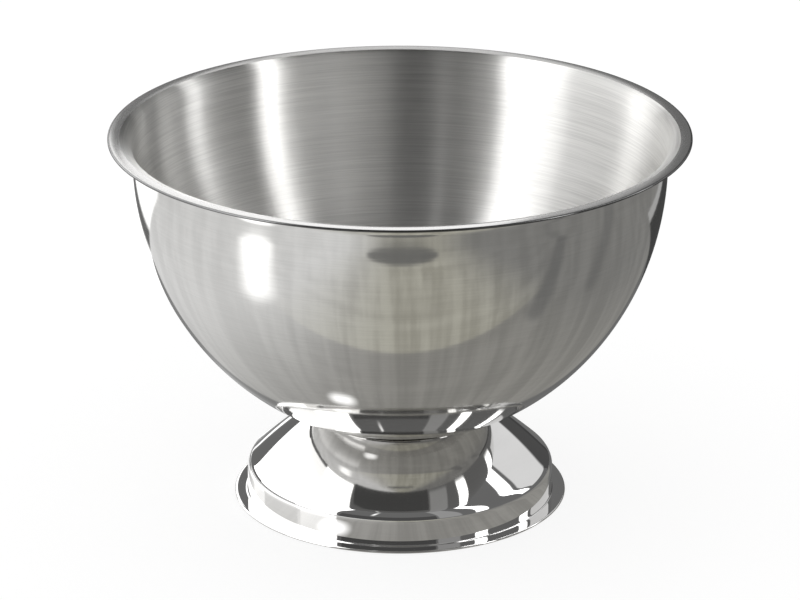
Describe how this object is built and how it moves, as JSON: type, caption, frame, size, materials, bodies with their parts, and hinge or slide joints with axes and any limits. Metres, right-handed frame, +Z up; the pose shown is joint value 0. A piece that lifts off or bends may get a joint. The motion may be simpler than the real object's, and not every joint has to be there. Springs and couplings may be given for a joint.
{
  "type": "punch bowl",
  "caption": "Large round steel punch bowl with a flared, hemmed lip, welded on a hollow polished pedestal foot.",
  "frame": {"origin": "centre of the footprint, on the surface the bowl stands on", "axes": "+Z up the turning axis; X and Y are free because the bowl is round, and -Y faces the viewer"},
  "size_m": [0.3802, 0.3802, 0.2506],
  "materials": {
    "satin_steel": "stainless steel, brushed round the axis",
    "polished_steel": "stainless steel, mirror polished",
    "weld_metal": "stainless steel, as welded"
  },
  "bodies": {
    "root": {"bowl": "satin_steel", "pedestal_foot": "polished_steel", "spot_weld_1": "weld_metal", "spot_weld_2": "weld_metal", "spot_weld_3": "weld_metal", "spot_weld_4": "weld_metal", "spot_weld_5": "weld_metal", "spot_weld_6": "weld_metal"}
  },
  "joints": []
}
